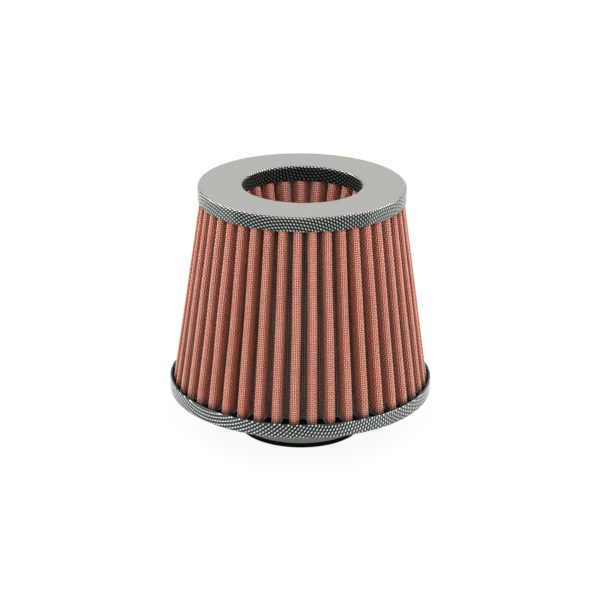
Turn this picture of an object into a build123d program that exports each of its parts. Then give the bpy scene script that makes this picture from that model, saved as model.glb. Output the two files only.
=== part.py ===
from build123d import *
import os
from math import atan2, cos, degrees, pi, sin

# Cone air filter: two pleated gauze cones, one inside the other, between a moulded cap and a rubber base.
# Frame: +Z up along the filter's axis, origin at the centre of the neck's mouth, millimetres.

# Overall sizes
overall_height = 150.8
cap_diameter = 120.8
cap_bore = 69.5
ring_diameter = 155.0
neck_bore = 65.0
neck_length = 24.4

# Cap
cap_wall = 1.0
cap_plate = 1.5
cap_skirt = 8.9
cap_bore_wall = 9.5
cap_edge_round = 1.6
cap_bore_round = 1.2
cap_edge_bands = 2
cap_bore_bands = 1

# Seal cast in the cap's channel, its face set back above the skirt's lower edge
seal_setback = 1.1

# Base ring
ring_height = 8.5
ring_wall = 1.4
ring_flange = 12.0
ring_edge_round = 1.2
ring_edge_bands = 1

# Rubber base: its floor lies below the ring's lip
floor_setback = 2.0
neck_wall = 4.3

# Hose clamp round the neck, its screw on the side away from the front; angles in degrees
clamp_rise = 3.4
clamp_width = 12.0
clamp_thickness = 0.7
clamp_azimuth = 70.0
clamp_tail = 32.0
clamp_step = 16.0
clamp_gap = 24.0
housing_length = 14.0
housing_wall = 0.8
worm_diameter = 6.4
screw_head_across = 7.0
screw_head_length = 5.0
screw_slot_width = 1.0
screw_slot_depth = 1.2

# Outer cone of gauze
outer_folds = 44
outer_fold_top_width = 4.4
outer_fold_foot_width = 5.0
outer_fold_taper = 0.8
outer_first_fold = -84.4

# Inverted inner cone of gauze
inner_folds = 24
inner_fold_depth = 7.94791
inner_fold_top_width = 3.4
inner_fold_foot_width = 2.3
inner_fold_top_taper = -7.6
inner_fold_foot_taper = -2.9
inner_first_fold = 98.7
inner_foot_diameter = 41.0
inner_foot_rise = 39.0

# End cap of the inner cone
end_cap_thickness = 6.0
end_cap_rim = 1.6

# The gauze sheet and the room round it
sheet = 1.0
fold_round = 0.36
seen_bands = 3
hidden_bands = 2
pack_gap = 1.2
screen_room = 0.5
lip_room = 1.4

# Clearance between round moulded faces that seat in one another
seat_clearance = 0.1

# Levels and radii that follow from the sizes above
cap_radius = cap_diameter / 2
bore_radius = cap_bore / 2
ring_radius = ring_diameter / 2
neck_radius = neck_bore / 2
skirt_foot = overall_height - cap_skirt
bore_foot = overall_height - cap_bore_wall
cap_ceiling = overall_height - cap_plate
seal_face = skirt_foot + seal_setback
ring_foot = neck_length
ring_lip = ring_foot + ring_height
ring_seat = ring_foot + ring_wall
floor_level = ring_lip - floor_setback
inner_foot = floor_level + inner_foot_rise
channel_outer = cap_radius - cap_wall
channel_inner = bore_radius + cap_wall
lip_inside = ring_radius - ring_wall
neck_outside = neck_radius + neck_wall

# The clamp's band lies on the neck, its tail laps over it and the worm lies on the tail
band_inside = neck_outside + seat_clearance
band_outside = band_inside + clamp_thickness
tail_inside = band_outside + seat_clearance
tail_outside = tail_inside + clamp_thickness
worm_radius = worm_diameter / 2
worm_axis = tail_outside + seat_clearance + worm_radius
clamp_middle = clamp_rise + clamp_width / 2


def on_slope(level, lower, upper):
    """Radius at a level on the straight line through two (radius, level) points."""
    share = (level - lower[1]) / (upper[1] - lower[1])
    return lower[0] + (upper[0] - lower[0]) * share


# The tips of the outer cone clear the ring's lip and the cap's skirt by the room for the screen
outer_slope = ((lip_inside - lip_room, ring_lip), (channel_outer - screen_room, skirt_foot))
outer_tip_foot = on_slope(floor_level, *outer_slope)
outer_tip_top = on_slope(seal_face, *outer_slope)

# The ridges of the inner cone clear the cap's bore wall in the same way
inner_ridge_foot = inner_foot_diameter / 2
inner_slope = ((inner_ridge_foot, inner_foot), (channel_inner + screen_room, bore_foot))
inner_ridge_top = on_slope(seal_face, *inner_slope)

# The folds of the outer cone take the room that the inner ones leave in the cap's channel
inner_tip_foot = inner_ridge_foot + inner_fold_depth
inner_tip_top = inner_ridge_top + inner_fold_depth
outer_depth = outer_tip_top - pack_gap - inner_tip_top


def rounded(corner, before, after, radius, bands):
    """Corner of a section that is eased by a radius, as a few straight bands along its arc."""
    corner, before, after = Vector(corner), Vector(before), Vector(after)
    back = (before - corner).normalized() * radius
    on = (after - corner).normalized() * radius
    centre = corner + back + on
    steps = [pi / 2 * band / bands for band in range(bands + 1)]
    return [centre - on * cos(step) - back * sin(step) for step in steps]


def turned(corners):
    """A ring made by turning a closed section, given as (radius, height) corners, round the axis."""
    section = make_face(Polyline(*corners, close=True))
    return revolve(Plane.XZ * section, Axis.Z)


def top_cap():
    """Flat plate with a skirt outside, a bore wall inside and a channel between them."""
    bore_edge = (bore_radius, overall_height)
    skirt_edge = (cap_radius, overall_height)
    edge_round = min(cap_edge_round, cap_wall + cap_plate)
    bore_round = min(cap_bore_round, cap_wall + cap_plate)
    return turned(
        [
            (bore_radius, bore_foot),
            (channel_inner, bore_foot),
            (channel_inner, cap_ceiling),
            (channel_outer, cap_ceiling),
            (channel_outer, skirt_foot),
            (cap_radius, skirt_foot),
            *rounded(skirt_edge, (cap_radius, skirt_foot), bore_edge, edge_round, cap_edge_bands),
            *rounded(bore_edge, skirt_edge, (bore_radius, bore_foot), bore_round, cap_bore_bands),
        ]
    )


def top_seal():
    """Compound that fills the cap's channel, with the upper ends of both cones on its face."""
    inside = channel_inner + seat_clearance
    outside = channel_outer - seat_clearance
    return turned([(inside, seal_face), (outside, seal_face), (outside, cap_ceiling), (inside, cap_ceiling)])


def base_ring():
    """Upright lip round the foot of the outer cone, turned in below to a flange with a rounded edge."""
    flange_edge = ring_radius - ring_flange
    flange_foot = (flange_edge, ring_foot)
    lip_outside = (ring_radius, ring_lip)
    edge_round = min(ring_edge_round, 3 * ring_wall)
    return turned(
        [
            flange_foot,
            *rounded((ring_radius, ring_foot), flange_foot, lip_outside, edge_round, ring_edge_bands),
            lip_outside,
            (lip_inside, ring_lip),
            (lip_inside, ring_seat),
            (flange_edge, ring_seat),
        ]
    )


def base_neck():
    """One rubber moulding: the floor that carries the outer cone, seated in the ring, and the neck."""
    floor_edge = lip_inside - seat_clearance
    return turned(
        [
            (neck_radius, 0),
            (neck_outside, 0),
            (neck_outside, ring_seat),
            (floor_edge, ring_seat),
            (floor_edge, floor_level),
            (neck_radius, floor_level),
        ]
    )


def inner_end_cap():
    """Cast disc that closes the inverted cone and carries its foot."""
    hung = (Align.CENTER, Align.CENTER, Align.MAX)
    return Pos(0, 0, inner_foot) * Cylinder(inner_tip_foot + end_cap_rim, end_cap_thickness, align=hung)


def clamp_band():
    """Steel strip closed round the neck; its tail steps out, passes under the worm and laps over the band."""
    band_start = clamp_azimuth - clamp_gap / 2
    tail_start = clamp_azimuth - clamp_gap - clamp_step
    band_sweep = 360 + tail_start - clamp_step - band_start
    tail_sweep = clamp_azimuth + clamp_tail - tail_start

    def at(radius, angle):
        return Vector(radius, 0).rotate(Axis.Z, angle)

    def side(band, tail):
        """One face of the strip, along the band, out over the step and along the tail."""
        step = Line(at(band, tail_start - clamp_step), at(tail, tail_start))
        return [CenterArc((0, 0), band, band_start, band_sweep), step, CenterArc((0, 0), tail, tail_start, tail_sweep)]

    ends = [
        Line(at(band_inside, band_start), at(band_outside, band_start)),
        Line(at(tail_inside, tail_start + tail_sweep), at(tail_outside, tail_start + tail_sweep)),
    ]
    strip = make_face([*side(band_inside, tail_inside), *side(band_outside, tail_outside), *ends])
    return extrude(Pos(0, 0, clamp_rise) * strip, clamp_width)


def across_clamp():
    """Plane through the worm's middle and square to it: X away from the neck, Y up."""
    away = Vector(1, 0).rotate(Axis.Z, clamp_azimuth)
    return Plane((0, 0, clamp_middle), x_dir=away, z_dir=away.rotate(Axis.Z, 90))


def clamp_housing():
    """Pressed saddle that straddles the band and arches over the worm."""
    straddle = clamp_width / 2 + seat_clearance
    tunnel = worm_radius + seat_clearance
    ledge = tail_outside + seat_clearance

    def half_arch(wall):
        """Half of the saddle's outline, its inner face if the wall is 0."""
        return [
            (band_inside, straddle + wall),
            (ledge + wall, straddle + wall),
            (ledge + wall, tunnel + wall),
            (worm_axis, tunnel + wall),
        ]

    def arch(wall):
        """One face of the saddle, from foot to foot over the worm."""
        up = half_arch(wall)
        down = [(radius, -height) for radius, height in up]
        crown = ThreePointArc(up[-1], (worm_axis + tunnel + wall, 0), down[-1])
        return [Polyline(*up), crown, Polyline(*down)]

    feet = [
        Line((band_inside, side * straddle), (band_inside, side * (straddle + housing_wall))) for side in (1, -1)
    ]
    section = make_face([*arch(0), *arch(housing_wall), *feet])
    return extrude(across_clamp() * section, housing_length / 2, both=True)


def clamp_screw():
    """Worm that lies in the housing, with a slotted hexagon head outside it."""
    worm_half = housing_length / 2 + seat_clearance
    worm = Cylinder(worm_radius, 2 * worm_half)
    head = extrude(Pos(0, 0, worm_half) * RegularPolygon(screw_head_across / 2, 6, False, 30), screw_head_length)
    head_end = worm_half + screw_head_length
    slot = Pos(0, 0, head_end - screw_slot_depth / 2) * Box(2 * screw_head_across, screw_slot_width, screw_slot_depth)
    return across_clamp() * Pos(worm_axis, 0, 0) * (worm + head - slot)


def fold_bend(start, end, rise, bands):
    """Points of a fold's round bend from start to end, bulging by rise to the right of the way there."""
    half = (end - start) / 2
    side = Vector(half.Y, -half.X).normalized()
    sweep = 2 * atan2(rise, half.length)
    radius = half.length / sin(sweep)
    centre = start + half + side * (rise - radius)
    angles = [sweep * (2 * band / bands - 1) for band in range(bands + 1)]
    return [centre + half.normalized() * (radius * sin(a)) + side * (radius * cos(a)) for a in angles]


def pleat_outlines(folds, first_fold, tip_bands, ridge_bands, tip, depth, width, taper, level):
    """Outer and inner outline of a pleated sheet at one level: each fold is round outside and flat inside.

    One fold is laid out with its tip on +X and the next inner fold half a pitch round, and then repeated.
    """
    pitch = 2 * pi / folds
    ridge = tip - depth
    flank_slope = taper / 2 / depth
    shoulder = tip - fold_round * width
    toward_valley = Vector(cos(pitch / 2), sin(pitch / 2))
    across_valley = Vector(sin(pitch / 2), -cos(pitch / 2))

    def flank(radius, inset):
        """Point of the fold's flank at a radius, some way in from its outer face."""
        return Vector(radius, width / 2 - flank_slope * (shoulder - radius) - inset)

    def flank_meets(inset, normal, distance):
        """Where the flank meets the line that has this normal and this distance from the axis."""
        start = flank(shoulder, inset)
        along = Vector(-1, -flank_slope)
        return start + along * ((distance - start.dot(normal)) / along.dot(normal))

    def mirrored(point):
        return Vector(point.X, -point.Y)

    def following(point):
        """The same point one fold further round."""
        return point.rotate(Axis.Z, degrees(pitch))

    def all_round(points):
        turns = [first_fold + degrees(pitch) * fold for fold in range(folds)]
        return [point.rotate(Axis.Z, turn) + Vector(0, 0, level) for turn in turns for point in points]

    outer_shoulder = flank(shoulder, 0)
    outer_crease = flank(shoulder, sheet)
    valley_shoulder = flank_meets(sheet, toward_valley - across_valley * (2 * fold_round), ridge)
    valley_crease = flank_meets(0, toward_valley, valley_shoulder.dot(toward_valley))
    ridge_rise = valley_shoulder.dot(toward_valley) - ridge
    ridge_bend = fold_bend(following(mirrored(valley_shoulder)), valley_shoulder, ridge_rise, ridge_bands)
    outside = [
        *fold_bend(mirrored(outer_shoulder), outer_shoulder, tip - shoulder, tip_bands),
        valley_crease,
        following(mirrored(valley_crease)),
    ]
    inside = [mirrored(outer_crease), outer_crease, *reversed(ridge_bend)]
    return all_round(outside), all_round(inside)


def folded_sheet(foot, top):
    """Solid sheet between the outlines at its foot and its top, with two flat panels between each two folds."""
    panels = []
    for low, high in zip(foot, top):
        for i in range(len(low)):
            for corners in ([low[i - 1], low[i], high[i]], [low[i - 1], high[i], high[i - 1]]):
                panels.append(Face(Wire.make_polygon(corners, close=True)))
    for outside, inside in (foot, top):
        panels.append(Face(Wire.make_polygon(outside, close=True), [Wire.make_polygon(inside, close=True)]))
    return Solid(Shell(panels))


def outer_pleats():
    """Gauze cone that stands on the rubber floor and narrows upwards into the cap."""
    folds = (outer_folds, outer_first_fold, seen_bands, hidden_bands)
    foot = (outer_tip_foot, outer_depth, outer_fold_foot_width, outer_fold_taper, floor_level)
    top = (outer_tip_top, outer_depth, outer_fold_top_width, outer_fold_taper, seal_face)
    return folded_sheet(pleat_outlines(*folds, *foot), pleat_outlines(*folds, *top))


def inner_pleats():
    """Gauze cone that hangs from the cap round its bore and narrows downwards to the end cap."""
    folds = (inner_folds, inner_first_fold, hidden_bands, seen_bands)
    foot = (inner_tip_foot, inner_fold_depth, inner_fold_foot_width, inner_fold_foot_taper, inner_foot)
    top = (inner_tip_top, inner_fold_depth, inner_fold_top_width, inner_fold_top_taper, seal_face)
    return folded_sheet(pleat_outlines(*folds, *foot), pleat_outlines(*folds, *top))


os.makedirs("parts", exist_ok=True)
mouldings = (top_cap, top_seal, base_ring, base_neck, inner_end_cap)
clamp = (clamp_band, clamp_housing, clamp_screw)
gauze = (outer_pleats, inner_pleats)
for piece in mouldings + clamp + gauze:
    export_step(piece(), f"parts/{piece.__name__}.step")
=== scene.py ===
from dataclasses import dataclass
from math import atan2, cos, hypot, pi, radians, sin, tan

import bmesh
import bpy
from mathutils import Matrix, Vector, noise


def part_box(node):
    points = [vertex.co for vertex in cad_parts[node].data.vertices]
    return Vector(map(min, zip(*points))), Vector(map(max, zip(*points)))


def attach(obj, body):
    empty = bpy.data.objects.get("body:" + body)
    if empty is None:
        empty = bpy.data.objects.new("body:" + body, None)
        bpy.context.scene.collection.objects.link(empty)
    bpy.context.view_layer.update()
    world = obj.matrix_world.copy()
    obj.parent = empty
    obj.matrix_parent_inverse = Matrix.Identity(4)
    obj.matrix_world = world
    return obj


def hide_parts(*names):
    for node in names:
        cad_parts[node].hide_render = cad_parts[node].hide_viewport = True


# Cone air filter: finishes, rounded mouldings, folded gauze and the woven wire screens that lie on it.
# Frame: +Z up along the filter's axis, origin at the centre of the neck's mouth, metres.

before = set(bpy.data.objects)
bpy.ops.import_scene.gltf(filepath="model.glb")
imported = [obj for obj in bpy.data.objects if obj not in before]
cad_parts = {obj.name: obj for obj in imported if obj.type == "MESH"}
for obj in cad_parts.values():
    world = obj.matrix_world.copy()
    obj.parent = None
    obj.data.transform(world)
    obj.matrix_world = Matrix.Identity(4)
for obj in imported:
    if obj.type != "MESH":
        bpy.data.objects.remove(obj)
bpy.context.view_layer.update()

MM = 0.001
AXIS = (0, 0, 1)
CENTRE = (0, 0, 0)

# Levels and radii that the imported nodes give
cap_low, cap_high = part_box("top_cap")
ring_low, ring_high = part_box("base_ring")
_, neck_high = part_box("base_neck")
outer_low, outer_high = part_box("outer_pleats")
inner_low, inner_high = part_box("inner_pleats")
end_low, end_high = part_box("inner_end_cap")
cap_radius = cap_high[0]
cap_top = cap_high[2]
bore_foot = cap_low[2]
ring_radius = ring_high[0]
ring_foot = ring_low[2]
ring_lip = ring_high[2]
floor_level = outer_low[2]
seal_face = outer_high[2]
floor_edge = neck_high[0]
end_radius = end_high[0]
band_low, band_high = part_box("clamp_band")
clamp_middle = (band_low[2] + band_high[2]) / 2

# Cap and base ring
bore_radius = 34.75 * MM
skirt_drop = 8.9 * MM
cap_wall = 1.0 * MM
cap_plate = 1.5 * MM
cap_edge_round = 1.6 * MM
bore_edge_round = 1.2 * MM
ring_wall = 1.4 * MM
ring_flange = 12.0 * MM
ring_edge_round = 1.2 * MM
lip_edge_round = 0.45 * MM
hidden_edge_round = 0.25 * MM

# Rubber base and the cast end of the inner cone
neck_bore_radius = 32.5 * MM
neck_radius = 36.8 * MM
rubber_edge_round = 0.5 * MM
cast_edge_round = 1.2 * MM

# Hose clamp: the slots in its tail
tail_radius = 38.4 * MM
tail_from = radians(34)
slot_pitch = 2.6 * MM
slot_slant = 0.18
slot_half = 3.6 * MM
steel_edge_round = 0.16 * MM

# Gauze and its screens
sheet = 0.9 * MM
wire_spread = 0.236 * MM
wire_rise = 0.19 * MM
wire_lie = 0.12 * MM
weave_pitch = 1.26 * MM
weave_lift = 0.15 * MM
fold_sway = 0.5 * MM
fold_rise = 0.25 * MM
sway_length = 55 * MM
crest_ease = 0.86
valley_ease = 0.8

# How finely round shapes and folds are cut; bends are steps at a crest and at a valley
turn_steps = 160
edge_steps = 4
sheet_bands = 14
sheet_bends = (5, 3)
weft_bends = (3, 1)

# Where the folds' unevenness is read from the noise
fold_stride = 2.7
rise_shift = Vector((0.5, 0.5, 9.5))


@dataclass
class Cone:
    """A pleated cone from the side that shows; pairs hold a value at the foot and one at the top."""

    name: str
    folds: int
    first_crest: float
    facing: int
    levels: tuple
    crest: tuple
    crest_half: tuple
    valley: tuple
    valley_half: tuple
    warps: int
    deep_warps: int
    lean: tuple

    @property
    def rows(self):
        foot, top = self.levels
        return int((top - foot) / weave_pitch)

    def row_level(self, row):
        """Height of a weft wire."""
        foot, top = self.levels
        return foot + (top - foot) * (row + 0.5) / self.rows

    def share(self, level):
        foot, top = self.levels
        return (level - foot) / (top - foot)

    def at(self, level):
        """Crest and valley radius and half width at a level."""
        share = self.share(level)
        pairs = (self.crest, self.crest_half, self.valley, self.valley_half)
        return [foot + (top - foot) * share for foot, top in pairs]


outer_cone = Cone(
    name="outer",
    folds=44,
    first_crest=radians(-84.4),
    facing=1,
    levels=(floor_level, seal_face),
    crest=(74.99 * MM, 58.74 * MM),
    crest_half=(2.2 * MM, 1.9 * MM),
    valley=(64.4 * MM, 47.6 * MM),
    valley_half=(2.42 * MM, 1.53 * MM),
    warps=24,
    deep_warps=6,
    lean=(radians(0.4), radians(0.9)),
)
inner_cone = Cone(
    name="inner",
    folds=24,
    first_crest=radians(98.7 + 7.5),
    facing=-1,
    levels=(inner_low[2], inner_high[2]),
    crest=(20.5 * MM, 36.6 * MM),
    crest_half=(1.47 * MM, 1.45 * MM),
    valley=(27.63 * MM, 43.34 * MM),
    valley_half=(0.3 * MM, 0.7 * MM),
    warps=16,
    deep_warps=3,
    lean=(0, 0),
)


# Turned mouldings


def turned(section):
    """A ring spun round the axis from (radius, height, edge round) corners, in order round it."""
    bm = bmesh.new()
    corners = [bm.verts.new((radius, 0, height)) for radius, height, _ in section]
    for start, end in zip(corners, corners[1:]):
        bm.edges.new((start, end))
    if section[0][0] > 0:
        bm.edges.new((corners[-1], corners[0]))
    for corner, (_, _, edge_round) in zip(corners, section):
        if edge_round:
            bmesh.ops.bevel(
                bm,
                geom=[corner],
                offset=edge_round,
                offset_type="OFFSET",
                segments=edge_steps,
                profile=0.5,
                affect="VERTICES",
                material=-1,
            )
    bmesh.ops.spin(
        bm,
        geom=bm.verts[:] + bm.edges[:],
        cent=CENTRE,
        axis=AXIS,
        angle=2 * pi,
        steps=turn_steps,
        use_merge=True,
    )
    bmesh.ops.remove_doubles(bm, verts=bm.verts[:], dist=1e-7)
    bmesh.ops.recalc_face_normals(bm, faces=bm.faces[:])
    return bm


def as_piece(name, bm, materials, nodes=()):
    """Turns a finished bmesh into a smooth piece of the object that stands for some nodes."""
    for face in bm.faces:
        face.smooth = True
    mesh = bpy.data.meshes.new(name)
    bm.to_mesh(mesh)
    bm.free()
    for material in materials:
        mesh.materials.append(material)
    piece = bpy.data.objects.new(name, mesh)
    bpy.context.scene.collection.objects.link(piece)
    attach(piece, "root")
    if nodes:
        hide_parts(*nodes)
    return piece


def keep_flats(piece):
    """Large flat faces keep their own normal beside a rounded edge."""
    weighted = piece.modifiers.new("flats", "WEIGHTED_NORMAL")
    weighted.keep_sharp = True


# Folded gauze


def eased(before, corner, after, offset, steps):
    """Points of a round bend in place of a corner, tangent to both of its sides."""
    back = (before - corner).normalized()
    on = (after - corner).normalized()
    half = back.angle(on) / 2
    centre = corner + (back + on).normalized() * (offset / cos(half))
    spoke = corner + back * offset - centre
    turn = pi - 2 * half
    if back.cross(on) > 0:
        turn = -turn
    return [centre + Matrix.Rotation(turn * step / steps, 2) @ spoke for step in range(steps + 1)]


def fold_path(cone, level, proud, crest_steps, valley_steps):
    """Outline of one fold at a level, from valley to valley, with its crest on +X.

    It runs some way proud of the gauze.
    """
    crest, crest_half, valley, valley_half = cone.at(level)
    crest += cone.facing * proud
    crest_half += proud
    valley += cone.facing * proud
    valley_half -= proud
    crest_middle = Vector((crest, 0))
    crest_corner = Vector((crest, crest_half))
    valley_middle = Vector((valley, valley * tan(pi / cone.folds)))
    valley_corner = valley_middle - Vector((0, valley_half))
    half = [
        *eased(crest_middle, crest_corner, valley_corner, crest_ease * crest_half, crest_steps),
        *eased(crest_corner, valley_corner, valley_middle, valley_ease * valley_half, valley_steps),
        valley_middle,
    ]
    return [Vector((point.x, -point.y)) for point in reversed(half)] + half


def all_round(bm, cone):
    """Repeats one fold round the axis and joins the copies."""
    bmesh.ops.rotate(bm, cent=CENTRE, matrix=Matrix.Rotation(cone.first_crest, 3, "Z"), verts=bm.verts[:])
    bmesh.ops.spin(
        bm,
        geom=bm.verts[:] + bm.edges[:] + bm.faces[:],
        cent=CENTRE,
        axis=AXIS,
        angle=2 * pi * (cone.folds - 1) / cone.folds,
        steps=cone.folds - 1,
        use_duplicate=True,
    )
    bmesh.ops.remove_doubles(bm, verts=bm.verts[:], dist=1e-6)
    bmesh.ops.recalc_face_normals(bm, faces=bm.faces[:])


def settle(bm, cone):
    """Lets the folds stand a little unevenly, as hand-laid ones do, and lean sideways towards the top."""
    pitch = 2 * pi / cone.folds
    for vert in bm.verts:
        radius = hypot(vert.co.x, vert.co.y)
        angle = atan2(vert.co.y, vert.co.x)
        fold = round((angle - cone.first_crest) / pitch) % cone.folds
        crest, _, valley, _ = cone.at(vert.co.z)
        standing = min(1, max(0, (radius - valley) / (crest - valley)))
        share = min(1, max(0, cone.share(vert.co.z)))
        held = sin(pi * share)
        spot = Vector((fold * fold_stride, vert.co.z / sway_length, cone.folds))
        sway = fold_sway * noise.noise(spot) * standing * held
        rise = fold_rise * noise.noise(spot + rise_shift) * standing * held
        angle += sway / radius + share * (cone.lean[0] + cone.lean[1] * vert.co.x / radius)
        radius += rise
        vert.co.x = radius * cos(angle)
        vert.co.y = radius * sin(angle)


def chain(bm, points, level):
    """Edges from point to point at a level."""
    verts = [bm.verts.new((point.x, point.y, level)) for point in points]
    return [bm.edges.new(pair) for pair in zip(verts, verts[1:])]


def folded_gauze(cone):
    """The sheet itself: one fold bridged from foot to top, repeated round the axis and thickened."""
    bm = bmesh.new()
    ends = [chain(bm, fold_path(cone, level, 0, *sheet_bends), level) for level in cone.levels]
    bmesh.ops.bridge_loops(bm, edges=ends[0] + ends[1])
    upright = [edge for edge in bm.edges if abs(edge.verts[0].co.z - edge.verts[1].co.z) > sheet]
    bmesh.ops.subdivide_edges(bm, edges=upright, cuts=sheet_bands - 1, use_grid_fill=True)
    all_round(bm, cone)
    settle(bm, cone)
    outward = sum(face.normal.xy.dot(face.calc_center_median().xy) for face in bm.faces)
    if outward * cone.facing < 0:
        bmesh.ops.reverse_faces(bm, faces=bm.faces[:])
    bmesh.ops.solidify(bm, geom=bm.faces[:], thickness=sheet)
    return bm


def flat_size(cone):
    """Width and length of the gauze before it was folded."""
    foot, top = cone.levels
    path = fold_path(cone, (foot + top) / 2, 0, *sheet_bends)
    width = cone.folds * sum((end - start).length for start, end in zip(path, path[1:]))
    return width, hypot(top - foot, cone.crest[1] - cone.crest[0])


def heading(start, end):
    return atan2(end.y - start.y, end.x - start.x)


def wire_ring(bm, place):
    """A wire's three-cornered section, flat on the gauze, with one corner along the place's +Y."""
    made = bmesh.ops.create_circle(
        bm, segments=3, radius=1.0, matrix=place @ Matrix.Diagonal((wire_spread, wire_rise, 1, 1))
    )
    corners = made["verts"]
    return list({edge for corner in corners for edge in corner.link_edges}), corners


def draw_on(bm, ring, step):
    """Extrudes a wire's section by a step; returns the new section's edges and corners."""
    made = bmesh.ops.extrude_edge_only(bm, edges=ring)["geom"]
    corners = [item for item in made if isinstance(item, bmesh.types.BMVert)]
    bmesh.ops.translate(bm, vec=step, verts=corners)
    return [item for item in made if isinstance(item, bmesh.types.BMEdge)], corners


def stamp(corners, layer, phase):
    """Writes where a wire is in the weave: on top at even phases, below at odd ones."""
    for corner in corners:
        corner[layer] = phase


def weft_wires(cone, rows):
    """Wires that run round the cone, over every fold."""
    bm = bmesh.new()
    layer = bm.verts.layers.float.new("phase")
    for row in rows:
        level = cone.row_level(row)
        path = fold_path(cone, level, wire_lie, *weft_bends)
        turns = [heading(before, after) for before, after in zip(path, path[2:])]
        turns = [pi / 2 - pi / cone.folds, *turns, pi / 2 + pi / cone.folds]
        steps = [(end - start).length for start, end in zip(path, path[1:])]
        place = (
            Matrix.Translation((*path[0], level))
            @ Matrix.Rotation(turns[0], 4, "Z")
            @ Matrix.Rotation(pi / 2, 4, "Y")
            @ Matrix.Rotation(pi if cone.facing > 0 else 0, 4, "Z")
        )
        ring, corners = wire_ring(bm, place)
        stamp(corners, layer, row + 0.5)
        for i in range(1, len(path)):
            ring, corners = draw_on(bm, ring, (*(path[i] - path[i - 1]), 0))
            turn = (turns[i] - turns[i - 1] + pi) % (2 * pi) - pi
            bmesh.ops.rotate(
                bm, cent=(*path[i], level), matrix=Matrix.Rotation(turn, 3, "Z"), verts=corners
            )
            stamp(corners, layer, row + 0.5 + cone.warps * sum(steps[:i]) / sum(steps))
    all_round(bm, cone)
    settle(bm, cone)
    return bm


def along(path, share):
    """Point at a share of a path's length, and the path's heading there."""
    steps = list(zip(path, path[1:]))
    left = share * sum((end - start).length for start, end in steps)
    for start, end in steps:
        length = (end - start).length
        if left <= length:
            return start.lerp(end, left / length), heading(start, end)
        left -= length
    return path[-1], heading(*steps[-1])


def warp_wires(cone, warps, woven):
    """Wires from the foot of the folds to their top; woven ones pass over one weft and under the next."""
    bm = bmesh.new()
    layer = bm.verts.layers.float.new("phase")
    foot, top = cone.levels
    paths = [fold_path(cone, level, wire_lie, *sheet_bends) for level in (foot, top)]
    for warp in warps:
        (start, way), (end, _) = (along(path, (warp + 0.5) / cone.warps) for path in paths)
        away = Matrix.Rotation(way - (cone.facing + 1) * pi / 2, 4, "Z")
        if woven:
            lift = (weave_lift, -weave_lift)
            middle = [(cone.row_level(row), lift[(row + warp) % 2]) for row in range(cone.rows)]
        else:
            middle = [(foot + (top - foot) * band / sheet_bands, 0) for band in range(1, sheet_bands)]
        levels, lifts = zip((foot, 0), *middle, (top, 0))
        spots = [
            Vector((*start.lerp(end, cone.share(level)), level)) + away @ Vector((0, lift, 0))
            for level, lift in zip(levels, lifts)
        ]
        phases = [cone.rows * cone.share(level) - 0.5 + warp for level in levels]
        ring, corners = wire_ring(bm, Matrix.Translation(spots[0]) @ away)
        stamp(corners, layer, phases[0])
        for i in range(1, len(spots)):
            ring, corners = draw_on(bm, ring, spots[i] - spots[i - 1])
            stamp(corners, layer, phases[i])
    bmesh.ops.holes_fill(bm, edges=bm.edges[:], sides=3)
    all_round(bm, cone)
    settle(bm, cone)
    return bm


# Finishes


class Finish:
    """A material, with a short way to add nodes and feed their sockets."""

    def __init__(self, name):
        self.material = bpy.data.materials.new(name)
        self.material.use_nodes = True
        self.tree = self.material.node_tree
        self.shader = self.tree.nodes["Principled BSDF"]

    def feed(self, socket, value):
        if isinstance(value, bpy.types.NodeSocket):
            self.tree.links.new(value, socket)
        else:
            socket.default_value = value

    def set(self, **values):
        """Feeds the shader's own sockets, named with underscores for spaces."""
        for name, value in values.items():
            self.feed(self.shader.inputs[name.replace("_", " ")], value)

    def add(self, kind, **values):
        node = self.tree.nodes.new("ShaderNode" + kind)
        for name, value in values.items():
            self.feed(node.inputs[name.replace("_", " ")], value)
        return node

    def math(self, operation, *values):
        node = self.tree.nodes.new("ShaderNodeMath")
        node.operation = operation
        for socket, value in zip(node.inputs, values):
            self.feed(socket, value)
        return node.outputs[0]

    def vector(self, operation, *values):
        node = self.tree.nodes.new("ShaderNodeVectorMath")
        node.operation = operation
        for socket, value in zip(node.inputs, values):
            self.feed(socket, value)
        return node

    def place(self):
        return self.add("TexCoord").outputs["Object"]

    def smooth(self, value, low, high, from_low=0.0, to_high=1.0):
        """Smooth step from low to high."""
        node = self.add("MapRange", Value=value)
        node.interpolation_type = "SMOOTHSTEP"
        self.feed(node.inputs["From Min"], low)
        self.feed(node.inputs["From Max"], high)
        self.feed(node.inputs["To Min"], from_low)
        self.feed(node.inputs["To Max"], to_high)
        return node.outputs["Result"]

    def mix(self, share, first, second):
        """Mix of two colours."""
        node = self.tree.nodes.new("ShaderNodeMix")
        node.data_type = "RGBA"
        self.feed(node.inputs["Factor"], share)
        colours = [socket for socket in node.inputs if socket.type == "RGBA"]
        self.feed(colours[0], first)
        self.feed(colours[1], second)
        return [socket for socket in node.outputs if socket.type == "RGBA"][0]

    def bump(self, height, depth):
        node = self.add("Bump", Height=height, Distance=depth)
        self.feed(self.shader.inputs["Normal"], node.outputs["Normal"])


# The film's print: rows of silvery ovals on black, each row shifted by half a step against the next
oval_step = 2.05 * MM
oval_half_length = 0.72 * MM
oval_half_width = 0.31 * MM
film_stretch = 1.19
bore_ground = (0.0015, 0.003, 0.0025, 1)
skirt_ground = (0.014, 0.022, 0.02, 1)
flat_ground = (0.225, 0.222, 0.205, 1)
flat_silver = (0.537, 0.53, 0.488, 1)
cap_silver = (0.7, 0.755, 0.7, 1)
ring_silver = (0.9, 0.95, 0.88, 1)

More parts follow.
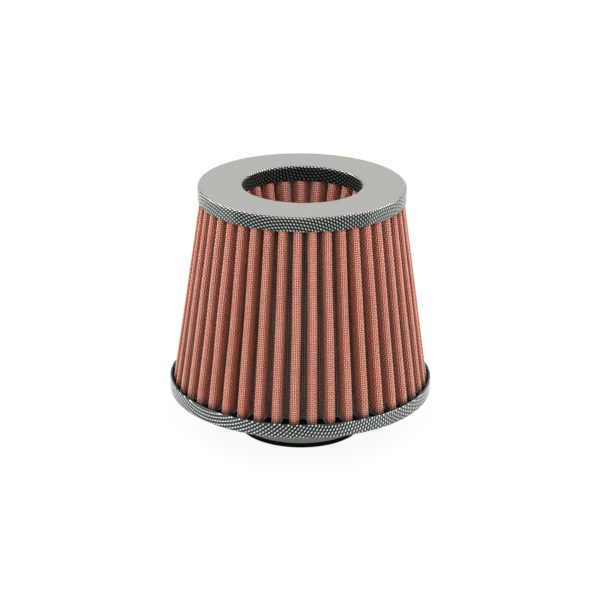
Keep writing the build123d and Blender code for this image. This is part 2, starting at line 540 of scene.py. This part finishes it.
# Gauze and wire coating: the darker and the paler tone, and the painted shade of a wire where it dips
# under another, at a crest and further down
cloth_reds = ((0.19, 0.0115, 0.0055, 1), (0.41, 0.026, 0.0128, 1))
cloth_patch = (0.06, 0.005, 0.003, 1)
cloth_stain = (0.09, 0.01, 0.007, 1)
wire_pales = ((1.0, 0.46, 0.308, 1), (1.0, 0.735, 0.565, 1))
wire_under_shades = ((0.38, 0.05, 0.029, 1), (0.15, 0.019, 0.011, 1))
wire_stain = (0.3, 0.05, 0.03, 1)
soaked_black = (0.012, 0.008, 0.006, 1)

# Painted shade down a fold: stretches of the way down, and what stays of a colour at the end of each
shade_stretches = ((0.0, 0.6 * MM), (0.5 * MM, 2.4 * MM), (1.5 * MM, 8 * MM))
cloth_shade_kept = ((0.8, 0.8, 0.8), (0.75, 0.7, 0.7), (0.3, 0.3, 0.3))
warp_shade_kept = ((0.74, 0.5, 0.42), (0.8, 0.52, 0.45), (0.34, 0.32, 0.3))
weft_shade_kept = ((0.5, 0.28, 0.22), (0.28, 0.18, 0.15), (0.34, 0.32, 0.3))


def turned_by(finish, vector, angle):
    mapping = finish.add("Mapping", Vector=vector)
    mapping.inputs["Rotation"].default_value = (0, 0, angle)
    return mapping.outputs["Vector"]


def printed_film(name, silver, face_level, middle_radius, row_gap, row_turn, oval_tilt):
    """Carbon-look film that was laid flat on a face and stretched over its edges.

    On the flat face its strands lie close; over an edge dark gaps open, and in the bore the ground and the
    ovals are made much darker.
    """
    finish = Finish(name)
    place = finish.place()
    flat = finish.vector("MULTIPLY", place, (1, 1, 0)).outputs["Vector"]
    radius = finish.vector("LENGTH", flat).outputs["Value"]
    height = finish.add("SeparateXYZ", Vector=place).outputs["Z"]
    fall = finish.math("ABSOLUTE", finish.math("SUBTRACT", height, face_level))
    side = finish.math("SIGN", finish.math("SUBTRACT", radius, middle_radius))
    reach = finish.math("MULTIPLY_ADD", fall, finish.math("DIVIDE", side, film_stretch), radius)
    film = finish.vector("SCALE", flat)
    finish.feed(film.inputs["Scale"], finish.math("DIVIDE", reach, radius))
    rows = turned_by(finish, film.outputs["Vector"], -row_turn)
    cells = finish.vector("DIVIDE", rows, (oval_step, row_gap, 1)).outputs["Vector"]
    cell = finish.add("SeparateXYZ", Vector=cells)
    row = finish.math("FLOOR", cell.outputs["Y"])
    across = finish.math("FRACT", finish.math("MULTIPLY_ADD", row, 0.5, cell.outputs["X"]))
    down = finish.math("FRACT", cell.outputs["Y"])
    within = finish.add("CombineXYZ", X=across, Y=down, Z=0.5)
    centred = finish.vector("SUBTRACT", within.outputs["Vector"], (0.5, 0.5, 0.5)).outputs["Vector"]
    spot = finish.vector("MULTIPLY", centred, (oval_step, row_gap, 1)).outputs["Vector"]
    spot = turned_by(finish, spot, -oval_tilt)
    spot = finish.vector("DIVIDE", spot, (oval_half_length, oval_half_width, 1)).outputs["Vector"]
    oval = finish.smooth(finish.vector("LENGTH", spot).outputs["Value"], 1.12, 0.74)
    outside = finish.math("MAXIMUM", side, finish.smooth(fall, 0.8 * MM, 2.2 * MM, 1.0, 0.1))
    strand = finish.math("MULTIPLY", oval, outside)
    stretched = finish.smooth(fall, 0.1 * MM, 0.7 * MM)
    ground = finish.mix(stretched, flat_ground, finish.mix(outside, bore_ground, skirt_ground))
    silver = finish.mix(stretched, flat_silver, silver)
    coat = finish.smooth(fall, 0.1 * MM, 0.7 * MM, 0.2, 1.0)
    finish.set(
        Base_Color=finish.mix(strand, ground, silver),
        Metallic=finish.math("MULTIPLY", strand, finish.math("MULTIPLY", stretched, 0.5)),
        Roughness=0.36,
        Specular_IOR_Level=0.0,
        Coat_Weight=finish.math("MULTIPLY", outside, coat),
        Coat_Roughness=0.17,
        Coat_IOR=1.55,
        Sheen_Weight=0.15,
        Sheen_Roughness=0.3,
        Sheen_Tint=(0.97, 1.0, 0.96, 1),
    )
    return finish.material


def moulded_plastic():
    """Black unprinted plastic with a faint moulded grain."""
    finish = Finish("black_plastic")
    grain = finish.add("TexNoise", Vector=finish.place(), Scale=2400.0, Detail=2.0)
    finish.set(
        Base_Color=finish.mix(grain.outputs["Fac"], (0.012, 0.014, 0.013, 1), (0.022, 0.024, 0.023, 1)),
        Roughness=finish.smooth(grain.outputs["Fac"], 0.2, 0.8, 0.42, 0.58),
    )
    finish.bump(grain.outputs["Fac"], 0.02 * MM)
    return finish.material


def cast_compound():
    """Satin black sealing compound, a little uneven where it set."""
    finish = Finish("cast_compound")
    place = finish.place()
    flow = finish.add("TexNoise", Vector=place, Scale=260.0, Detail=3.0)
    finish.set(
        Base_Color=finish.mix(flow.outputs["Fac"], (0.008, 0.008, 0.008, 1), (0.02, 0.019, 0.018, 1)),
        Roughness=finish.smooth(flow.outputs["Fac"], 0.3, 0.7, 0.4, 0.6),
    )
    finish.bump(flow.outputs["Fac"], 0.15 * MM)
    return finish.material


def moulded_rubber():
    """Black rubber with a fine matt grain."""
    finish = Finish("moulded_rubber")
    place = finish.place()
    grain = finish.add("TexNoise", Vector=place, Scale=1500.0, Detail=3.0)
    finish.set(
        Base_Color=finish.mix(grain.outputs["Fac"], (0.0015, 0.003, 0.0028, 1), (0.004, 0.006, 0.0055, 1)),
        Roughness=finish.smooth(grain.outputs["Fac"], 0.3, 0.7, 0.5, 0.66),
        Specular_IOR_Level=0.02,
    )
    finish.bump(grain.outputs["Fac"], 0.03 * MM)
    return finish.material


def clamp_steel(name, slotted):
    """Satin steel strip, rolled lengthwise; the tail has the slots that the worm runs in."""
    finish = Finish(name)
    place = finish.place()
    lines = finish.vector("MULTIPLY", place, (60, 60, 7000)).outputs["Vector"]
    grain = finish.add("TexNoise", Vector=lines, Scale=1.0, Detail=3.0).outputs["Fac"]
    smear = finish.add("TexNoise", Vector=place, Scale=120.0, Detail=2.0).outputs["Fac"]
    colour = finish.mix(smear, (0.145, 0.15, 0.132, 1), (0.2, 0.205, 0.183, 1))
    relief = finish.math("MULTIPLY", grain, 0.12)
    if slotted:
        slot = tail_slots(finish, place)
        colour = finish.mix(slot, colour, (0.02, 0.02, 0.02, 1))
        relief = finish.math("SUBTRACT", relief, slot)
    finish.set(
        Base_Color=colour,
        Metallic=1.0,
        Roughness=finish.smooth(grain, 0.3, 0.7, 0.36, 0.5),
    )
    finish.bump(relief, 0.15 * MM)
    return finish.material


def tail_slots(finish, place):
    """1 inside the slanting slots along the middle of the clamp's tail."""
    parts = finish.add("SeparateXYZ", Vector=place)
    flat = finish.vector("MULTIPLY", place, (1, 1, 0)).outputs["Vector"]
    radius = finish.vector("LENGTH", flat).outputs["Value"]
    angle = finish.math("ARCTAN2", parts.outputs["Y"], parts.outputs["X"])
    rise = finish.math("SUBTRACT", parts.outputs["Z"], clamp_middle)
    run = finish.math("MULTIPLY_ADD", rise, slot_slant, finish.math("MULTIPLY", angle, tail_radius))
    phase = finish.math("PINGPONG", finish.math("DIVIDE", run, slot_pitch), 0.5)
    masks = [
        finish.smooth(phase, 0.2, 0.26),
        finish.smooth(finish.math("ABSOLUTE", rise), slot_half + 0.15 * MM, slot_half - 0.15 * MM),
        finish.smooth(angle, tail_from, tail_from + radians(1)),
        finish.smooth(radius, tail_radius - 0.3 * MM, tail_radius - 0.2 * MM),
    ]
    slot = masks[0]
    for mask in masks[1:]:
        slot = finish.math("MULTIPLY", slot, mask)
    return slot


def fold_depth(finish, place, cone):
    """Height of a point, and how far it lies below the crest of its fold."""
    height = finish.add("SeparateXYZ", Vector=place).outputs["Z"]
    flat = finish.vector("MULTIPLY", place, (1, 1, 0)).outputs["Vector"]
    radius = finish.vector("LENGTH", flat).outputs["Value"]
    (low, high), (foot, top) = cone.levels, cone.crest
    slope = (top - foot) / (high - low)
    crest = finish.math("MULTIPLY_ADD", height, slope, foot - low * slope)
    return height, finish.math("MULTIPLY", finish.math("SUBTRACT", crest, radius), cone.facing)


def painted_fold_shade(finish, colour, depth, kept):
    """Painted shade: a colour that darkens below the crest of a fold, standing in for the shade on the
    crest's shoulders, on the flanks and in the valleys; kept is what stays of it after each stretch.
    """
    for (start, end), share in zip(shade_stretches, kept):
        darker = finish.vector("MULTIPLY", colour, share).outputs["Vector"]
        colour = finish.mix(finish.smooth(depth, start, end), colour, darker)
    return colour


def soaked(finish, colour, height, depth, stain):
    """A colour that turns to a stain and then to black where the compound crept up the folds' foot."""
    creep = finish.math("MULTIPLY_ADD", depth, 0.12, ring_lip - 0.7 * MM)
    above = finish.math("SUBTRACT", height, creep)
    colour = finish.mix(finish.smooth(above, 4.5 * MM, 0.2 * MM), colour, stain)
    return finish.mix(finish.smooth(above, 1.6 * MM, -0.8 * MM), colour, soaked_black)


def gauze_cloth(cone, foot_soaks):
    """Dark red cotton gauze that lies under the screen."""
    finish = Finish(cone.name + "_cloth")
    place = finish.place()
    height, depth = fold_depth(finish, place, cone)
    fibre = finish.add("TexNoise", Vector=place, Scale=1800.0, Detail=4.0)
    patch = finish.add("TexNoise", Vector=place, Scale=90.0, Detail=2.0)
    red = finish.mix(fibre.outputs["Fac"], *cloth_reds)
    red = finish.mix(finish.smooth(patch.outputs["Fac"], 0.3, 0.7, 0.0, 0.5), red, cloth_patch)
    if foot_soaks:
        red = soaked(finish, red, height, depth, cloth_stain)
    # Painted shade: the cloth darkens below the crest of each fold.
    red = painted_fold_shade(finish, red, depth, cloth_shade_kept)
    finish.set(Base_Color=red, Roughness=0.85, Specular_IOR_Level=0.2)
    finish.bump(fibre.outputs["Fac"], 0.2 * MM)
    return finish.material


def screen_wire(cone, foot_soaks, way, kept):
    """Fine wire with a pale salmon coating; painted shade darkens it where it dips below another wire and
    further down the fold.
    """
    finish = Finish(f"{cone.name}_{way}_wire")
    place = finish.place()
    height, depth = fold_depth(finish, place, cone)
    phase = finish.tree.nodes.new("ShaderNodeAttribute")
    phase.attribute_name = "phase"
    swing = finish.math("COSINE", finish.math("MULTIPLY", phase.outputs["Fac"], pi))
    tint = finish.add("TexNoise", Vector=place, Scale=420.0, Detail=3.0)
    pale = finish.mix(finish.smooth(tint.outputs["Fac"], 0.3, 0.7), *wire_pales)
    # Painted shade where a wire passes under another, darker further down the fold.
    under_shade = finish.mix(finish.smooth(depth, 0.2 * MM, 1.6 * MM), *wire_under_shades)
    coat = finish.mix(finish.smooth(swing, -0.5, 0.6), under_shade, pale)
    if foot_soaks:
        coat = soaked(finish, coat, height, depth, wire_stain)
    # Painted shade: the wire darkens below the crest of each fold.
    coat = painted_fold_shade(finish, coat, depth, kept)
    finish.set(
        Base_Color=coat,
        Roughness=finish.smooth(tint.outputs["Fac"], 0.3, 0.7, 0.5, 0.36),
        Sheen_Weight=0.8,
        Sheen_Roughness=0.4,
        Sheen_Tint=(1.0, 0.86, 0.76, 1),
    )
    return finish.material


# The pieces

skirt_foot = cap_top - skirt_drop
cap_ceiling = cap_top - cap_plate
channel_outer = cap_radius - cap_wall
channel_inner = bore_radius + cap_wall
lip_inside = ring_radius - ring_wall
flange_edge = ring_radius - ring_flange
ring_seat = ring_foot + ring_wall

cap_middle = (bore_radius + cap_radius) / 2
cap_film = printed_film(
    "cap_film",
    cap_silver,
    face_level=cap_top,
    middle_radius=cap_middle,
    row_gap=1.58 * MM,
    row_turn=radians(-5.9),
    oval_tilt=radians(-29),
)
ring_film = printed_film(
    "ring_film",
    ring_silver,
    face_level=ring_foot,
    middle_radius=flange_edge,
    row_gap=1.72 * MM,
    row_turn=radians(13.7),
    oval_tilt=radians(-59),
)
black_plastic = moulded_plastic()
compound = cast_compound()
rubber = moulded_rubber()


def print_outside(bm, unprinted):
    """Gives the second material to the faces that the film doesn't reach."""
    for face in bm.faces:
        middle = face.calc_center_median()
        face.material_index = int(unprinted(hypot(middle.x, middle.y), middle.z))


def cap_shell():
    bm = turned(
        [
            (bore_radius, bore_foot, hidden_edge_round),
            (bore_radius, cap_top, bore_edge_round),
            (cap_radius, cap_top, cap_edge_round),
            (cap_radius, skirt_foot, hidden_edge_round),
            (channel_outer, skirt_foot, hidden_edge_round),
            (channel_outer, cap_ceiling, 0),
            (channel_inner, cap_ceiling, 0),
            (channel_inner, bore_foot, hidden_edge_round),
        ]
    )
    inside = channel_inner - hidden_edge_round
    outside = channel_outer + hidden_edge_round
    print_outside(bm, lambda radius, level: level <= cap_ceiling and inside <= radius <= outside)
    keep_flats(as_piece("cap_shell", bm, [cap_film, black_plastic], ["top_cap"]))


def ring_shell():
    bm = turned(
        [
            (flange_edge, ring_foot, hidden_edge_round),
            (ring_radius, ring_foot, ring_edge_round),
            (ring_radius, ring_lip, lip_edge_round),
            (lip_inside, ring_lip, lip_edge_round),
            (lip_inside, ring_seat, 0),
            (flange_edge, ring_seat, hidden_edge_round),
        ]
    )
    lip_middle = lip_inside + ring_wall / 2
    flange_low = ring_foot + hidden_edge_round
    print_outside(bm, lambda radius, level: radius < lip_middle and level > flange_low)
    keep_flats(as_piece("ring_shell", bm, [ring_film, black_plastic], ["base_ring"]))


def rubber_base():
    bm = turned(
        [
            (neck_bore_radius, 0, rubber_edge_round),
            (neck_radius, 0, rubber_edge_round),
            (neck_radius, ring_seat, rubber_edge_round),
            (floor_edge, ring_seat, 0),
            (floor_edge, floor_level, 0),
            (neck_bore_radius, floor_level, rubber_edge_round),
        ]
    )
    keep_flats(as_piece("rubber_base", bm, [rubber], ["base_neck"]))


def cast_end():
    bm = turned(
        [
            (0, end_low[2], 0),
            (end_radius, end_low[2], cast_edge_round),
            (end_radius, end_high[2], cast_edge_round),
            (0, end_high[2], 0),
        ]
    )
    keep_flats(as_piece("cast_end", bm, [compound], ["inner_end_cap"]))


def hose_clamp():
    """The clamp's own solids with their sharp edges eased, in satin steel."""
    for node in ("clamp_band", "clamp_housing", "clamp_screw"):
        bm = bmesh.new()
        bm.from_mesh(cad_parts[node].data)
        bmesh.ops.remove_doubles(bm, verts=bm.verts[:], dist=1e-6)
        bmesh.ops.dissolve_limit(bm, angle_limit=radians(0.5), verts=bm.verts[:], edges=bm.edges[:])
        sharp = [edge for edge in bm.edges if edge.calc_face_angle(0) > radians(25)]
        bmesh.ops.bevel(
            bm,
            geom=sharp,
            offset=steel_edge_round,
            offset_type="OFFSET",
            segments=3,
            profile=0.5,
            affect="EDGES",
            clamp_overlap=True,
            material=-1,
        )
        steel = clamp_steel(node + "_steel", node == "clamp_band")
        keep_flats(as_piece(node + "_eased", bm, [steel], [node]))


def gauze_and_screen(cone, node, foot_soaks, parts):
    """A folded sheet and, on the side that shows, its woven screen."""
    cloth = gauze_cloth(cone, foot_soaks)
    warp = screen_wire(cone, foot_soaks, "warp", warp_shade_kept)
    weft = screen_wire(cone, foot_soaks, "weft", weft_shade_kept)
    gauze = as_piece(cone.name + "_gauze", folded_gauze(cone), [cloth], [node])
    for part in range(parts):
        rows = range(cone.rows * part // parts, cone.rows * (part + 1) // parts)
        as_piece(f"{cone.name}_weft_{part + 1}", weft_wires(cone, rows), [weft])
    seen = range(cone.deep_warps, cone.warps - cone.deep_warps)
    deep = [place for place in range(cone.warps) if place not in seen]
    for part in range(parts):
        wires = warp_wires(cone, seen[part::parts], True)
        as_piece(f"{cone.name}_warp_{part + 1}", wires, [warp])
    as_piece(cone.name + "_deep_warp", warp_wires(cone, deep, False), [warp])
    flat_size(cone)


cap_shell()
ring_shell()
rubber_base()
cast_end()
hose_clamp()
gauze_and_screen(outer_cone, "outer_pleats", True, 2)
gauze_and_screen(inner_cone, "inner_pleats", False, 1)
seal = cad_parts["top_seal"]
seal.data.materials.clear()
seal.data.materials.append(compound)


# Stage, light and camera

ambient = 0.12
box_size = 1.2
side_power = 15.5
fill_power = 21.5
lamp_aim = Vector((0, 0, 0.09))
floor_pale = (0.3, 0.3, 0.295, 1)
floor_white = (0.95, 0.95, 0.945, 1)
floor_dim = (0.03, 0.03, 0.03, 1)


def seen_rays(tree):
    """1 for rays that show the surroundings: from the camera, in gloss or through glass."""
    path = tree.nodes.new("ShaderNodeLightPath")
    total = path.outputs["Is Camera Ray"]
    for name in ("Is Glossy Ray", "Is Transmission Ray"):
        larger = tree.nodes.new("ShaderNodeMath")
        larger.operation = "MAXIMUM"
        tree.links.new(total, larger.inputs[0])
        tree.links.new(path.outputs[name], larger.inputs[1])
        total = larger.outputs[0]
    return total


def white_world():
    world = bpy.data.worlds.new("studio")
    world.use_nodes = True
    tree = world.node_tree
    strength = tree.nodes.new("ShaderNodeMapRange")
    tree.links.new(seen_rays(tree), strength.inputs["Value"])
    strength.inputs["To Min"].default_value = ambient
    strength.inputs["To Max"].default_value = 1.0
    background = tree.nodes["Background"]
    background.inputs["Color"].default_value = (1, 1, 1, 1)
    tree.links.new(strength.outputs["Result"], background.inputs["Strength"])
    bpy.context.scene.world = world


def pale_floor():
    """Floor that the camera sees as white with a soft shadow; in gloss its front is the dim studio."""
    bm = bmesh.new()
    bmesh.ops.create_grid(bm, x_segments=1, y_segments=1, size=6.0)
    mesh = bpy.data.meshes.new("floor")
    bm.to_mesh(mesh)
    bm.free()
    floor = bpy.data.objects.new("floor", mesh)
    bpy.context.scene.collection.objects.link(floor)
    finish = Finish("floor_white")
    place = finish.place()
    ahead = finish.smooth(finish.add("SeparateXYZ", Vector=place).outputs["Y"], -0.1, -0.15)
    dim = finish.math("MULTIPLY", finish.add("LightPath").outputs["Is Glossy Ray"], ahead)
    seen = finish.math("SUBTRACT", seen_rays(finish.tree), dim)
    colour = finish.mix(dim, finish.mix(seen, floor_pale, floor_white), floor_dim)
    finish.set(Base_Color=colour, Roughness=0.9, Specular_IOR_Level=0.0)
    glow = finish.add("Emission", Color=(1, 1, 1, 1), Strength=1.0)
    blend = finish.tree.nodes.new("ShaderNodeMixShader")
    away = finish.vector("LENGTH", place).outputs["Value"]
    lift = finish.math("MULTIPLY", seen, finish.smooth(away, 0.15, 0.5, 0.92, 1.0))
    finish.feed(blend.inputs[0], lift)
    finish.tree.links.new(finish.shader.outputs[0], blend.inputs[1])
    finish.tree.links.new(glow.outputs[0], blend.inputs[2])
    finish.tree.links.new(blend.outputs[0], finish.tree.nodes["Material Output"].inputs["Surface"])
    mesh.materials.append(finish.material)


def softbox(name, place, power):
    light = bpy.data.lights.new(name, "AREA")
    light.shape = "SQUARE"
    light.size = box_size
    light.energy = power
    lamp = bpy.data.objects.new(name, light)
    lamp.location = place
    lamp.rotation_mode = "QUATERNION"
    lamp.rotation_quaternion = (lamp_aim - lamp.location).to_track_quat("-Z", "Y")
    bpy.context.scene.collection.objects.link(lamp)
    return lamp


def studio_light():
    """Two boxes at the sides, and a front fill that doesn't show in glossy surfaces."""
    softbox("left_box", (-0.94, 0.14, 0.78), side_power)
    softbox("right_box", (0.94, 0.14, 0.78), side_power)
    fill = softbox("front_fill", (0, -1.2, 0.75), fill_power)
    fill.visible_glossy = False


# Camera: fitted to the cap's and the ring's ellipses in a frame of 600 x 600 pixels
view_elevation = radians(21.03)
view_distance = 1250.55 * MM
view_height = 78.74 * MM
view_roll = radians(0.57)
frame_pixels = 600
focal_pixels = 2122.59
centre_offset_pixels = 1.07
sensor = 36.0


def camera():
    data = bpy.data.cameras.new("camera")
    data.sensor_width = sensor
    data.lens = focal_pixels * sensor / frame_pixels
    data.shift_x = -centre_offset_pixels / frame_pixels
    eye = bpy.data.objects.new("camera", data)
    back = Vector((0, -cos(view_elevation), sin(view_elevation)))
    eye.location = Vector((0, 0, view_height)) + back * view_distance
    eye.rotation_mode = "QUATERNION"
    roll = Matrix.Rotation(view_roll, 3, "Z").to_quaternion()
    eye.rotation_quaternion = (-back).to_track_quat("-Z", "Y") @ roll
    bpy.context.scene.collection.objects.link(eye)
    bpy.context.scene.camera = eye


white_world()
pale_floor()
studio_light()
camera()
bpy.context.scene.view_settings.view_transform = "Standard"
